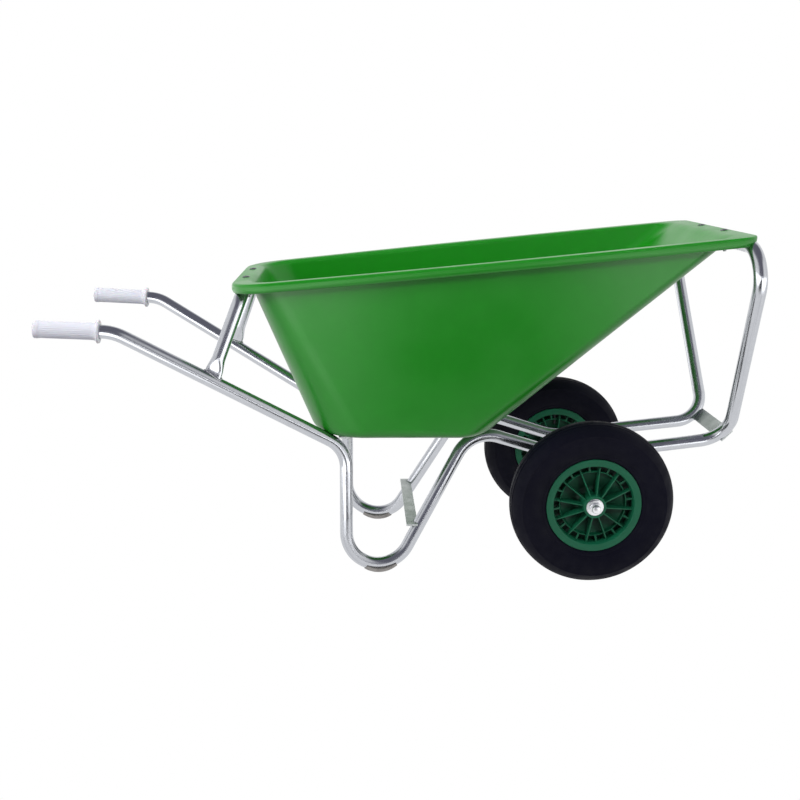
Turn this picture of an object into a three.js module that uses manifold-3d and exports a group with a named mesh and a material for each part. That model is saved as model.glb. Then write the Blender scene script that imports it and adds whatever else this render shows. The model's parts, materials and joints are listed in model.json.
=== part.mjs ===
// A two-wheel wheelbarrow for stables and yards, built as its separate pieces.
//
// One long galvanised tube runs from each grip down to a U-shaped leg, forward under the
// tub and up to the nose, where the left and the right tube are welded end to end. A deep
// plastic tub is bolted to the nose and to a support behind it. Two pneumatic wheels turn
// on a through axle below the frame.
//
// Millimetres, +X to the front, +Y to the operator's left, +Z up. The ground is z = 0.
// Stations along X are measured from the axle, and the last step moves the whole object
// by AXLE_X, which puts the origin midway between the grips' ends and the nose.
import * as THREE from 'three';
import { mergeVertices } from 'three/addons/utils/BufferGeometryUtils.js';
import Module from 'manifold-3d';

const wasm = await Module();
wasm.setup();

// ---- Driving dimensions -------------------------------------------------------------

const AXLE_X = 455;
const GAP = 0.3; // between pieces that touch

const TUBE_RADIUS = 16;
const TUBE_WALL = 1.5;
const TUBE_SIDES = 8;
const BEND_STEP = THREE.MathUtils.degToRad(23);

// Corners of the left frame tube before bending, with the bend radius at each.
const GRIP_END = [-1300, 296, 631];
const FRAME_CORNERS = [
  { at: GRIP_END, bend: 0 },
  { at: [-1123, 291, 623], bend: 100 },
  { at: [-596, 180, 315], bend: 80 }, // handle to leg
  { at: [-596, 241, -208.5], bend: 83 }, // the leg's U, which stands on the ground
  { at: [-281, 118, 347], bend: 90 }, // leg to the run under the tub
  { at: [-32, 108, 270], bend: 150 },
  { at: [384, 100, 317], bend: 75 }, // run to the front upright
  { at: [340, 380, 819.5], bend: 68 }, // upright to the nose bar
  { at: [340, GAP / 2, 819.5], bend: 0 },
];

const GRIP = { length: 147, radius: 20.5, collarRadius: 27, collarLength: 7, endWall: 4 };
const GRIP_SIDES = 14;

// The rim of the tub lies in one plane, which rises to the front.
const RIM = {
  rear: -865, front: 356, halfWidth: 312, widestX: -50, bow: 7.3e-5,
  rearCorner: 104, frontCorner: 45, lipThickness: 5, skirtDrop: 17, skirtThickness: 4,
  heightAtAxle: 809.5, rise: 0.1,
};
const WALL_TOP = { rear: -822, front: 309, flange: 30, rearCorner: 80, frontCorner: 55 };
const FLOOR = {
  rear: -671, front: -258, z: 349, halfWidth: 234, rearCorner: 125, frontCorner: 70, fillet: 42,
};
const TUB_WALL = 5;

const REAR_SUPPORT = {
  bend: 45, barX: -837, barZ: 704.3, barHalf: 203,
  footX: -911, footY: 246.2, footZ: 504, footWidth: 21, footThickness: 9,
};
const BOLT = { y: 90, shank: 4, head: 10, headHeight: 4.5, nutAcrossFlats: 13, nutHeight: 6.5 };

const TUB_REST = { rear: -614, front: -586, top: 348.5, bottom: 318, halfLength: 197, thickness: 4 };
const LEG_BRACE = { rear: -446, front: -418, bottom: 115, thickness: 5, halfLength: 190 };
const FRONT_BRACE = { width: 38, thickness: 5, halfLength: 120, x: 374, z: 326 };
const SHOE = { length: 68, width: 30, height: 9 };

const TYRE_RADIUS = 200;
const TYRE_HALF_WIDTH = 49;
const WHEEL_Y = 258.4; // from the middle of the object to the middle of a tyre
const HUB_HALF = 48;
const RIM_FLANGE_RADIUS = 115.5;
const BEARING = { bore: 10.3, radius: 21, width: 12 };
const SPOKES = 12;
const WINDOWS = 24;
const WHEEL_SEGMENTS = 24;
const VALVE_Y = -14;

const AXLE_RADIUS = 10;
const AXLE_THREAD_RADIUS = 7.5;
const BRACKET = { y: 107.5, thickness: 8, topHalf: 48, boss: 24, top: 278 };
const WASHER = { radius: 19, thickness: 3.3 };
const AXLE_NUT = { acrossFlats: 24, hexHeight: 9, domeRadius: 11 };

// ---- Materials ----------------------------------------------------------------------

function material(color, roughness, metalness) {
  return new THREE.MeshStandardMaterial({ color, roughness, metalness });
}

const FINISH = {
  tub: material(0x227d1c, 0.45, 0),
  galvanised: material(0xc4c8cf, 0.35, 0.9),
  strip: material(0xa4aaa8, 0.5, 0.8),
  grip: material(0xdcdce6, 0.55, 0),
  tyre: material(0x14151a, 0.85, 0),
  rubber: material(0x1b1b1d, 0.8, 0),
  rim: material(0x1c5a41, 0.4, 0),
  bright: material(0xd8dade, 0.2, 1),
};

// ---- Solids -------------------------------------------------------------------------

function signedVolume(positions, index) {
  const [a, b, c] = [new THREE.Vector3(), new THREE.Vector3(), new THREE.Vector3()];
  let sum = 0;
  for (let i = 0; i < index.length; i += 3) {
    a.fromBufferAttribute(positions, index[i]);
    b.fromBufferAttribute(positions, index[i + 1]);
    c.fromBufferAttribute(positions, index[i + 2]);
    sum += a.dot(b.cross(c));
  }
  return sum / 6;
}

// Merges shared vertices, drops triangles with no area and turns the faces outwards.
function solid(geometry) {
  const bare = new THREE.BufferGeometry();
  bare.setAttribute('position', geometry.getAttribute('position').clone());
  bare.setIndex(geometry.getIndex());
  const merged = mergeVertices(bare, 1e-3);
  const source = merged.getIndex().array;
  const index = [];
  for (let i = 0; i < source.length; i += 3) {
    const [a, b, c] = source.slice(i, i + 3);
    if (a !== b && b !== c && c !== a) index.push(a, b, c);
  }
  if (signedVolume(merged.getAttribute('position'), index) < 0) index.reverse();
  merged.setIndex(index);
  return merged;
}

function toManifold(geometry) {
  return new wasm.Manifold(new wasm.Mesh({
    numProp: 3,
    vertProperties: new Float32Array(geometry.getAttribute('position').array),
    triVerts: new Uint32Array(geometry.getIndex().array),
  }));
}

function fromManifold(manifold) {
  const mesh = manifold.getMesh();
  const geometry = new THREE.BufferGeometry();
  geometry.setAttribute('position', new THREE.BufferAttribute(mesh.vertProperties, 3));
  geometry.setIndex(new THREE.BufferAttribute(mesh.triVerts, 1));
  return solid(geometry);
}

function cut(geometry, ...cutters) {
  let result = toManifold(geometry);
  for (const cutter of cutters) result = result.subtract(toManifold(cutter));
  return fromManifold(result);
}

function join(geometry, ...others) {
  let result = toManifold(geometry);
  for (const other of others) result = result.add(toManifold(other));
  return fromManifold(result);
}

function mirrored(geometry) {
  return solid(geometry.clone().scale(1, -1, 1));
}

function box(low, high) {
  const size = high.map((value, i) => value - low[i]);
  const centre = high.map((value, i) => (value + low[i]) / 2);
  return solid(new THREE.BoxGeometry(...size).translate(...centre));
}

// A round bar between two points.
function bar(from, to, radius, sides = 12) {
  const [start, end] = [new THREE.Vector3(...from), new THREE.Vector3(...to)];
  const along = end.clone().sub(start);
  const turn = new THREE.Quaternion().setFromUnitVectors(
    new THREE.Vector3(0, 1, 0), along.clone().normalize());
  const geometry = new THREE.CylinderGeometry(radius, radius, along.length(), sides);
  const middle = start.add(end).multiplyScalar(0.5);
  return solid(geometry.applyQuaternion(turn).translate(middle.x, middle.y, middle.z));
}

// The radius of a many-sided hole that clears a round bar by the gap.
function clearing(radius, sides = 12) {
  return (radius + GAP) / Math.cos(Math.PI / sides);
}

// A body turned about Y, from [radius, y] points.
function turned(profile, segments) {
  const points = profile.map(([radius, y]) => new THREE.Vector2(radius, y));
  return solid(new THREE.LatheGeometry(points, segments));
}

// A body turned about Y whose wall closes on itself.
function turnedRing(profile, segments) {
  return turned([...profile, profile[0]], segments);
}

function hexagon(acrossFlats, low, high) {
  const radius = acrossFlats / Math.sqrt(3);
  const prism = new THREE.CylinderGeometry(radius, radius, high - low, 6);
  return solid(prism.translate(0, (low + high) / 2, 0));
}

// A skin over rings of points. A loop joins the last ring to the first, and otherwise
// both end rings are capped.
function loft(rings, loop) {
  const count = rings[0].length;
  const points = rings.flat();
  const index = [];
  const bands = loop ? rings.length : rings.length - 1;
  for (let band = 0; band < bands; band += 1) {
    const here = band * count;
    const next = ((band + 1) % rings.length) * count;
    for (let i = 0; i < count; i += 1) {
      const j = (i + 1) % count;
      index.push(here + i, here + j, next + j, here + i, next + j, next + i);
    }
  }
  if (!loop) {
    addCap(points, index, 0, count, false);
    addCap(points, index, (rings.length - 1) * count, count, true);
  }
  const geometry = new THREE.BufferGeometry().setFromPoints(points);
  geometry.setIndex(index);
  return solid(geometry);
}

function addCap(points, index, first, count, isLast) {
  const centre = new THREE.Vector3();
  for (let i = 0; i < count; i += 1) centre.add(points[first + i]);
  const middle = points.push(centre.divideScalar(count)) - 1;
  for (let i = 0; i < count; i += 1) {
    const pair = [first + i, first + (i + 1) % count];
    if (isLast) index.push(middle, ...pair);
    else index.push(middle, pair[1], pair[0]);
  }
}

// ---- Bent tubes ---------------------------------------------------------------------

// Stations along a line of corners whose bends are true arcs.
function bentPath(corners) {
  const points = corners.map(({ at }) => new THREE.Vector3(...at));
  const heading = (i) => points[i + 1].clone().sub(points[i]).normalize();
  const stations = [{ point: points[0], tangent: heading(0) }];
  for (let i = 1; i < points.length - 1; i += 1) {
    const [before, after] = [heading(i - 1), heading(i)];
    const turn = before.angleTo(after);
    const radius = corners[i].bend;
    const start = points[i].clone().addScaledVector(before, -radius * Math.tan(turn / 2));
    const inward = after.clone().addScaledVector(before, -after.dot(before)).normalize();
    const steps = Math.ceil(turn / BEND_STEP);
    for (let step = 0; step <= steps; step += 1) {
      const angle = turn * step / steps;
      stations.push({
        point: start.clone().addScaledVector(before, radius * Math.sin(angle))
          .addScaledVector(inward, radius * (1 - Math.cos(angle))),
        tangent: before.clone().multiplyScalar(Math.cos(angle))
          .addScaledVector(inward, Math.sin(angle)),
      });
    }
  }
  stations.push({ point: points.at(-1), tangent: heading(points.length - 2) });
  return stations;
}

// Rings around the stations, carried along without twist. The section is an ellipse
// whose half widths at station i are section(i), the first of them along startNormal.
function tubeRings(stations, section, startNormal) {
  const normal = startNormal.clone();
  let tangent = stations[0].tangent;
  return stations.map((station, i) => {
    const turn = new THREE.Quaternion().setFromUnitVectors(tangent, station.tangent);
    normal.applyQuaternion(turn);
    tangent = station.tangent;
    normal.addScaledVector(tangent, -normal.dot(tangent)).normalize();
    const side = tangent.clone().cross(normal);
    const [wide, thick] = section(i);
    return Array.from({ length: TUBE_SIDES }, (_, k) => {
      const angle = 2 * Math.PI * (k + 0.5) / TUBE_SIDES;
      return station.point.clone().addScaledVector(normal, wide * Math.cos(angle))
        .addScaledVector(side, thick * Math.sin(angle));
    });
  });
}

const SIDEWAYS = new THREE.Vector3(0, 1, 0);

// The frame tube starts inside the grip, clear of the grip's end wall.
function leftFrameStations() {
  const [first, ...rest] = bentPath(FRAME_CORNERS);
  const point = first.point.clone().addScaledVector(first.tangent, GRIP.endWall + 1);
  return [{ point, tangent: first.tangent }, ...rest];
}

const frameStations = leftFrameStations();

function frameRings(radius) {
  return tubeRings(frameStations, () => [radius, radius], SIDEWAYS);
}

function leftFrameTube() {
  const outer = frameRings(TUBE_RADIUS);
  const inner = frameRings(TUBE_RADIUS - TUBE_WALL);
  return cut(loft([...outer, ...inner.reverse()], true), boltHole(noseBoltAxis()));
}

// The frame tube's outside with the gap added, for cutting the pieces that are welded to it.
function frameEnvelope() {
  return loft(frameRings(TUBE_RADIUS + GAP), false);
}

// ---- Tub ----------------------------------------------------------------------------

function rimHeight(x) {
  return RIM.heightAtAxle + RIM.rise * x;
}

function bowedHalfWidth(x) {
  return RIM.halfWidth - RIM.bow * (x - RIM.widestX) ** 2;
}

const CORNER_STEPS = 4;
const SIDE_STEPS = 4;
const END_STEPS = 2;

// Half of an outline seen from above, from the middle of the rear end along the left side
// to the middle of the front end: [x, y, outward normal x, outward normal y].
function halfOutline({ rear, front, rearCorner, frontCorner }, halfWidth) {
  const slope = (x) => Math.atan(halfWidth(x + 0.5) - halfWidth(x - 0.5));
  const arc = (centreX, tangentX, radius, from, to) => {
    const lean = slope(tangentX);
    const centreY = halfWidth(tangentX) - radius * Math.cos(lean);
    return Array.from({ length: CORNER_STEPS + 1 }, (_, i) => {
      const angle = THREE.MathUtils.lerp(from(lean), to(lean), i / CORNER_STEPS);
      const [nx, ny] = [Math.cos(angle), Math.sin(angle)];
      return [centreX + radius * nx, centreY + radius * ny, nx, ny];
    });
  };
  const rearX = rear + rearCorner;
  const frontX = front - frontCorner;
  const rearArc = arc(rearX, rearX, rearCorner, () => Math.PI, (lean) => Math.PI / 2 + lean);
  const frontArc = arc(frontX, frontX, frontCorner, (lean) => Math.PI / 2 + lean, () => 0);
  const end = (corner, x, nx) => Array.from({ length: END_STEPS }, (_, i) => [
    x, corner[1] * i / END_STEPS, nx, 0]);
  const side = Array.from({ length: SIDE_STEPS - 1 }, (_, i) => {
    const x = THREE.MathUtils.lerp(rearArc.at(-1)[0], frontArc[0][0], (i + 1) / SIDE_STEPS);
    const angle = Math.PI / 2 + slope(x);
    return [x, halfWidth(x), Math.cos(angle), Math.sin(angle)];
  });
  const frontEnd = end(frontArc.at(-1), front, 1).reverse();
  return [...end(rearArc[0], rear, -1), ...rearArc, ...side, ...frontArc, ...frontEnd];
}

function wholeOutline(half) {
  const right = half.slice(1, -1).reverse().map(([x, y, nx, ny]) => [x, -y, nx, -ny]);
  return [...half, ...right];
}

// Where the walls would meet the floor, where they meet the lip, and the lip's edge.
const floorLine = wholeOutline(halfOutline(FLOOR, () => FLOOR.halfWidth));
const wallLine = wholeOutline(halfOutline(WALL_TOP, (x) => bowedHalfWidth(x) - WALL_TOP.flange));
const edgeLine = wholeOutline(halfOutline(RIM, bowedHalfWidth));

function outlineRing(line, inset, height) {
  return line.map(([x, y, nx, ny]) => {
    const [px, py] = [x - nx * inset, y - ny * inset];
    return new THREE.Vector3(px, py, height(px, nx));
  });
}

function blend(from, to, amount) {
  return from.map((point, i) => point.clone().lerp(to[i], amount));
}

// Rings up one face of the wall, from the floor's edge round the fillet to the lip.
function wallRings(floorCorner, wallTop) {
  const rise = FLOOR.fillet / (RIM.heightAtAxle - FLOOR.z);
  const flat = floorCorner.map((point, i) => new THREE.Vector3(
    point.x - floorLine[i][2] * FLOOR.fillet, point.y - floorLine[i][3] * FLOOR.fillet, point.z));
  const upright = blend(floorCorner, wallTop, rise);
  const rounded = [1 / 3, 2 / 3].map((t) => blend(
    blend(flat, floorCorner, t), blend(floorCorner, upright, t), t));
  return [flat, ...rounded, upright, blend(floorCorner, wallTop, 0.55), wallTop];
}

function tubShell() {
  const under = (x) => rimHeight(x) - RIM.lipThickness;
  const outer = wallRings(
    outlineRing(floorLine, 0, () => FLOOR.z), outlineRing(wallLine, 0, under));
  const inner = wallRings(
    outlineRing(floorLine, TUB_WALL, () => FLOOR.z + TUB_WALL),
    outlineRing(wallLine, TUB_WALL, rimHeight));
  // At the nose the lip lies on the frame, so the skirt fades out there.
  const drop = (nx) => RIM.skirtDrop * THREE.MathUtils.clamp(1 - 2 * nx, 0, 1);
  const skirt = (x, nx) => under(x) - 1 - drop(nx);
  const lip = [
    outlineRing(edgeLine, RIM.skirtThickness + 1, under),
    outlineRing(edgeLine, RIM.skirtThickness, skirt),
    outlineRing(edgeLine, 0, skirt),
    outlineRing(edgeLine, 0.5, (x) => rimHeight(x) - 3),
    outlineRing(edgeLine, 3, rimHeight),
  ];
  return loft([...outer, ...lip, ...inner.reverse()], false);
}

// ---- Bolts through the lip ----------------------------------------------------------

const LIP_TILT = -Math.atan(RIM.rise);

// A bolt's place: the middle of the bar that it passes through, and the heights of the
// lip's top and of the bar's underside above that point, square to the lip.
function boltAxis(x, z) {
  return { x, z, lipTop: (rimHeight(x) - z) * Math.cos(LIP_TILT), barBottom: -TUBE_RADIUS };
}

function noseBoltAxis() {
  const [x, , z] = FRAME_CORNERS.at(-1).at;
  return boltAxis(x, z);
}

function rearBoltAxis() {
  return boltAxis(REAR_SUPPORT.barX, REAR_SUPPORT.barZ);
}

// Turns a body built along Y into a bolt's place on the given side.
function atBolt(geometry, { x, z }, side) {
  return solid(geometry.rotateX(Math.PI / 2).rotateY(LIP_TILT).translate(x, side * BOLT.y, z));
}

function boltHole(axis, side = 1) {
  return atBolt(bar([0, -40, 0], [0, 40, 0], clearing(BOLT.shank)), axis, side);
}

function tubBolt(axis) {
  const seat = axis.lipTop + GAP;
  const tip = axis.barBottom - BOLT.nutHeight - 5;
  const profile = [
    [0, tip], [BOLT.shank, tip], [BOLT.shank, seat], [BOLT.head, seat],
    [BOLT.head * 0.97, seat + 1], [BOLT.head * 0.6, seat + BOLT.headHeight * 0.85],
    [0, seat + BOLT.headHeight],
  ];
  return turned(profile, 12);
}

function tubNut(axis) {
  const top = axis.barBottom - GAP;
  const bore = bar([0, top - 20, 0], [0, top + 5, 0], clearing(BOLT.shank));
  return cut(hexagon(BOLT.nutAcrossFlats, top - BOLT.nutHeight, top), bore);
}

function tubWithHoles() {
  const holes = [noseBoltAxis(), rearBoltAxis()].flatMap(
    (axis) => [boltHole(axis, 1), boltHole(axis, -1)]);
  return cut(tubShell(), ...holes);
}

// ---- Pieces welded to the frame -----------------------------------------------------

// An upside-down U of lighter tube behind the tub, its feet pressed flat and welded on
// top of the handles.
function rearSupport() {
  const { footX, footY, footZ, footWidth, footThickness, barX, barZ, barHalf, bend } = REAR_SUPPORT;
  const bends = bentPath([
    { at: [footX, footY, footZ], bend: 0 }, { at: [barX, barHalf, barZ], bend },
    { at: [barX, -barHalf, barZ], bend }, { at: [footX, -footY, footZ], bend: 0 },
  ]);
  const upTheLeg = (foot, top, t) => ({
    point: foot.point.clone().lerp(top.point, t), tangent: foot.tangent });
  const stations = [
    bends[0], upTheLeg(bends[0], bends[1], 0.25), upTheLeg(bends[0], bends[1], 0.4),
    ...bends.slice(1, -1),
    upTheLeg(bends.at(-1), bends.at(-2), 0.4), upTheLeg(bends.at(-1), bends.at(-2), 0.25),
    bends.at(-1),
  ];
  const section = (i) => {
    const fromEnd = Math.min(i, stations.length - 1 - i);
    const flatness = Math.max(0, 1 - fromEnd / 2);
    return [
      THREE.MathUtils.lerp(TUBE_RADIUS, footWidth, flatness),
      THREE.MathUtils.lerp(TUBE_RADIUS, footThickness, flatness),
    ];
  };
  const forwards = new THREE.Vector3(1, 0, 0);
  const outer = tubeRings(stations, section, forwards);
  const inner = tubeRings(
    stations, (i) => section(i).map((half) => half - TUBE_WALL), forwards);
  const axis = rearBoltAxis();
  const envelope = frameEnvelope();
  return cut(loft([...outer, ...inner.reverse()], true), envelope, mirrored(envelope),
    boltHole(axis, 1), boltHole(axis, -1));
}

// A steel angle across the rear bends, on which the floor of the tub rests.
function tubRest() {
  const { rear, front, top, bottom, halfLength, thickness } = TUB_REST;
  const flat = box([rear, -halfLength, top - thickness], [front, halfLength, top]);
  const web = box([front - thickness, -halfLength, bottom], [front, halfLength, top]);
  const envelope = frameEnvelope();
  return cut(join(flat, web), envelope, mirrored(envelope));
}

function legBrace() {
  const { rear, front, bottom, thickness, halfLength } = LEG_BRACE;
  const strip = box([rear, -halfLength, bottom], [front, halfLength, bottom + thickness]);
  const envelope = frameEnvelope();
  return cut(strip, envelope, mirrored(envelope));
}

function frontBrace() {
  const { width, thickness, halfLength, x, z } = FRONT_BRACE;
  const strip = new THREE.BoxGeometry(width, 2 * halfLength, thickness);
  const envelope = frameEnvelope();
  const placed = solid(strip.rotateY(-Math.PI / 4).translate(x, 0, z));
  return cut(placed, envelope, mirrored(envelope));
}

function lowestStation() {
  return frameStations.reduce((low, { point }) => (point.z < low.z ? point : low),
    frameStations[0].point);
}

function leftShoe() {
  const { x, y } = lowestStation();
  const pad = box([x - SHOE.length / 2, y - SHOE.width / 2, 0],
    [x + SHOE.length / 2, y + SHOE.width / 2, SHOE.height]);
  return cut(pad, frameEnvelope());
}

function leftAxleBracket() {
  const { y, thickness, topHalf, boss, top } = BRACKET;
  const shape = new THREE.Shape();
  shape.moveTo(-topHalf, top - TYRE_RADIUS);
  shape.lineTo(-boss, 0);
  shape.absarc(0, 0, boss, Math.PI, 2 * Math.PI, false);
  shape.lineTo(topHalf, top - TYRE_RADIUS);
  const plate = new THREE.ExtrudeGeometry(
    shape, { depth: thickness, bevelEnabled: false, curveSegments: 10 });
  plate.deleteAttribute('normal');
  plate.deleteAttribute('uv');
  const flat = mergeVertices(plate.rotateX(Math.PI / 2));
  const placed = solid(flat.translate(0, y + thickness / 2, TYRE_RADIUS));
  const hole = bar([0, 0, TYRE_RADIUS], [0, 2 * y, TYRE_RADIUS], clearing(AXLE_RADIUS));
  return cut(placed, frameEnvelope(), hole);
}

// ---- Grips --------------------------------------------------------------------------

function leftGrip() {
  const { length, radius, collarRadius, collarLength, endWall } = GRIP;
  const bore = clearing(TUBE_RADIUS, GRIP_SIDES);
  const profile = [
    [0, 0], [radius - 3, 0], [radius, 3], [radius + 0.8, 12], [radius - 0.6, 45],
    [radius - 0.6, length - collarLength - 10], [radius + 1, length - collarLength],
    [collarRadius, length - collarLength + 0.5], [collarRadius, length - 1],
    [collarRadius - 1, length], [bore, length], [bore, endWall], [0, endWall],
  ];
  const direction = frameStations[0].tangent;
  const turn = new THREE.Quaternion().setFromUnitVectors(SIDEWAYS, direction);
  return solid(turned(profile, GRIP_SIDES).applyQuaternion(turn).translate(...GRIP_END));
}

// ---- Wheels, built about their own centre with +Y outboard ---------------------------

function tyre() {
  const [r, w] = [TYRE_RADIUS, TYRE_HALF_WIDTH];
  const outside = [
    [102, 31.2], [116.2, 31.2], [122, 38], [140, w - 1.5], [158, w], [177, w - 5],
    [192, w - 19], [r, 12],
  ];
  const inside = [[193, 12], [185, 27], [158, 43.5], [134, 38.5], [118, 27]];
  const otherSide = (points) => points.map(([radius, y]) => [radius, -y]);
  return turnedRing([
    ...outside, ...otherSide(outside.toReversed()),
    ...otherSide(inside.toReversed()), ...inside,
  ], WHEEL_SEGMENTS);
}

function circle(radius, centre, sides) {
  return Array.from({ length: sides }, (_, i) => {
    const angle = 2 * Math.PI * (i + 0.5) / sides;
    return [centre + radius * Math.cos(angle), radius * Math.sin(angle)];
  });
}

function innerTube() {
  const outer = turnedRing(circle(38, 150, 6), WHEEL_SEGMENTS);
  const air = turnedRing(circle(34.5, 150, 6), WHEEL_SEGMENTS);
  const port = bar([0, VALVE_Y, 100], [0, VALVE_Y, 135], 3, 8);
  return cut(outer, air, port);
}

function wheelRim() {
  const seat = HUB_HALF - BEARING.width - 1;
  const bearingBore = BEARING.radius + GAP;
  const profile = [
    [13, -seat], [bearingBore, -seat], [bearingBore, -HUB_HALF], [27, -HUB_HALF],
    [29, 2], [78, 12], [94, 12], [95, -37], [RIM_FLANGE_RADIUS, -37],
    [RIM_FLANGE_RADIUS, -31.6], [101.6, -31.6], [98, -13], [98, 13], [101.6, 31.6],
    [RIM_FLANGE_RADIUS, 31.6], [RIM_FLANGE_RADIUS, 37], [95, 37], [94, 17], [80, 17],
    [29, 8], [27, HUB_HALF], [bearingBore, HUB_HALF], [bearingBore, seat], [13, seat],
  ];
  const spoke = box([26, 0, -2], [95, 26, 2]);
  const spokes = Array.from({ length: SPOKES }, (_, i) => solid(
    spoke.clone().rotateY(2 * Math.PI * i / SPOKES)));
  const window = box([83, 5, -7], [93, 30, 7]);
  const windows = Array.from({ length: WINDOWS }, (_, i) => solid(
    window.clone().rotateY(2 * Math.PI * (i + 0.5) / WINDOWS)));
  const backDisc = turnedRing([[97, -6], [97, -3], [28, -3], [28, -6]], WHEEL_SEGMENTS);
  const valveHole = bar([0, VALVE_Y, 85], [0, VALVE_Y, 110], 5.3, 8);
  const front = cut(join(turnedRing(profile, WHEEL_SEGMENTS), ...spokes), ...windows);
  return cut(join(front, backDisc), valveHole);
}

function valveStem() {
  const profile = [[0, 0], [5, 0], [5, 14], [4, 18], [4, 30], [2.5, 30.5], [2.5, 36], [0, 36]];
  return solid(turned(profile, 8).rotateX(-Math.PI / 2).translate(0, VALVE_Y, 111));
}

function valveCap() {
  const profile = [[0, 13], [3.5, 13], [4.4, 11], [4.4, 0], [2.9, 0], [2.9, 6.5], [0, 6.5]];
  return solid(turned(profile, 8).rotateX(-Math.PI / 2).translate(0, VALVE_Y, 80.2));
}

function bearing() {
  const { bore, radius, width } = BEARING;
  const half = width / 2;
  return turnedRing([[radius, -half], [radius, half], [bore, half], [bore, -half]], 16);
}

// ---- Axle ---------------------------------------------------------------------------

const WASHER_Y = WHEEL_Y + HUB_HALF + GAP;

function axle() {
  const shoulder = WHEEL_Y + HUB_HALF - 0.5;
  const tip = WASHER_Y + WASHER.thickness + 13;
  return turned([
    [0, -tip], [AXLE_THREAD_RADIUS, -tip], [AXLE_THREAD_RADIUS, -shoulder],
    [AXLE_RADIUS, -shoulder], [AXLE_RADIUS, shoulder], [AXLE_THREAD_RADIUS, shoulder],
    [AXLE_THREAD_RADIUS, tip], [0, tip]], 16);
}

function leftSpacer() {
  const [from, to] = [BRACKET.y + BRACKET.thickness / 2 + GAP, WHEEL_Y - HUB_HALF - GAP];
  const bore = AXLE_RADIUS + GAP;
  return turnedRing([[bore, from], [13.5, from], [13.5, to], [bore, to]], 16);
}

function leftWasher() {
  const bore = AXLE_THREAD_RADIUS + GAP;
  const [from, to] = [WASHER_Y, WASHER_Y + WASHER.thickness];
  return turnedRing([[bore, from], [WASHER.radius, from], [WASHER.radius, to - 0.8],
    [WASHER.radius - 1, to], [bore, to]], 24);
}

function leftAxleNut() {
  const { acrossFlats, hexHeight, domeRadius } = AXLE_NUT;
  const base = WASHER_Y + WASHER.thickness + GAP;
  const dome = turned([
    [0, base + 1], [domeRadius, base + 1], [domeRadius, base + hexHeight],
    [domeRadius * 0.87, base + hexHeight + 4], [domeRadius * 0.5, base + hexHeight + 7.5],
    [0, base + hexHeight + 8.5]], 12);
  const bore = bar([0, base - 1, 0], [0, base + 13.5, 0], AXLE_THREAD_RADIUS + GAP, 16);
  return cut(join(hexagon(acrossFlats, base, base + hexHeight), dome), bore);
}

// ---- Assembly -----------------------------------------------------------------------

const barrow = new THREE.Group();
barrow.position.set(AXLE_X, 0, 0);

function add(name, geometry, finish, [x, y, z] = [0, 0, 0]) {
  const mesh = new THREE.Mesh(geometry, finish);
  mesh.name = name;
  mesh.position.set(x, y, z);
  barrow.add(mesh);
}

function addPair(name, leftGeometry, finish, [x, y, z] = [0, 0, 0]) {
  add(`${name}_left`, leftGeometry, finish, [x, y, z]);
  add(`${name}_right`, mirrored(leftGeometry), finish, [x, -y, z]);
}

add('tub', tubWithHoles(), FINISH.tub);
addPair('frame_tube', leftFrameTube(), FINISH.galvanised);
addPair('grip', leftGrip(), FINISH.grip);
add('rear_support', rearSupport(), FINISH.galvanised);
add('tub_rest', tubRest(), FINISH.strip);
add('leg_brace', legBrace(), FINISH.strip);
add('front_brace', frontBrace(), FINISH.strip);
addPair('foot_shoe', leftShoe(), FINISH.strip);
addPair('axle_bracket', leftAxleBracket(), FINISH.strip);

for (const [place, axis] of [['front', noseBoltAxis()], ['rear', rearBoltAxis()]]) {
  for (const [side, sign] of [['left', 1], ['right', -1]]) {
    add(`tub_bolt_${place}_${side}`, atBolt(tubBolt(axis), axis, sign), FINISH.bright);
    add(`tub_nut_${place}_${side}`, atBolt(tubNut(axis), axis, sign), FINISH.bright);
  }
}

const axleCentre = [0, 0, TYRE_RADIUS];
add('axle', axle(), FINISH.bright, axleCentre);
addPair('axle_spacer', leftSpacer(), FINISH.strip, axleCentre);
addPair('axle_washer', leftWasher(), FINISH.bright, axleCentre);
addPair('axle_nut', leftAxleNut(), FINISH.bright, axleCentre);

const wheelCentre = [0, WHEEL_Y, TYRE_RADIUS];
const bearingOffset = HUB_HALF - BEARING.width / 2 - 0.5;
addPair('tyre', tyre(), FINISH.tyre, wheelCentre);
addPair('inner_tube', innerTube(), FINISH.rubber, wheelCentre);
addPair('wheel_rim', wheelRim(), FINISH.rim, wheelCentre);
addPair('outer_bearing', bearing(), FINISH.bright, [0, WHEEL_Y + bearingOffset, TYRE_RADIUS]);
addPair('inner_bearing', bearing(), FINISH.bright, [0, WHEEL_Y - bearingOffset, TYRE_RADIUS]);
addPair('valve_stem', valveStem(), FINISH.rubber, wheelCentre);
addPair('valve_cap', valveCap(), FINISH.rubber, wheelCentre);

export default barrow;
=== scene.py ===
import json
from math import acos, ceil, cos, pi, radians, sin, tan

import bmesh
import bpy
import numpy as np
from mathutils import Matrix, Vector
from mathutils.bvhtree import BVHTree


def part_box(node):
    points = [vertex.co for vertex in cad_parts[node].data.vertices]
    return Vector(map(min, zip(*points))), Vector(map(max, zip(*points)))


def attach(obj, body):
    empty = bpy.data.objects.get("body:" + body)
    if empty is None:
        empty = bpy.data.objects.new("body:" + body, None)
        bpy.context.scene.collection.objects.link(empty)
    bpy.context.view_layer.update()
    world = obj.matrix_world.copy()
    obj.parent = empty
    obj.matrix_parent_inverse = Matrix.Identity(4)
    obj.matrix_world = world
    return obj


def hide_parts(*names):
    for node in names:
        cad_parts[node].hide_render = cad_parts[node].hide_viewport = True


# The looks of a two-wheel wheelbarrow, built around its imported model. Metres, +X to the
# front, +Y to the operator's left, +Z up, and the ground at z = 0.

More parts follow.
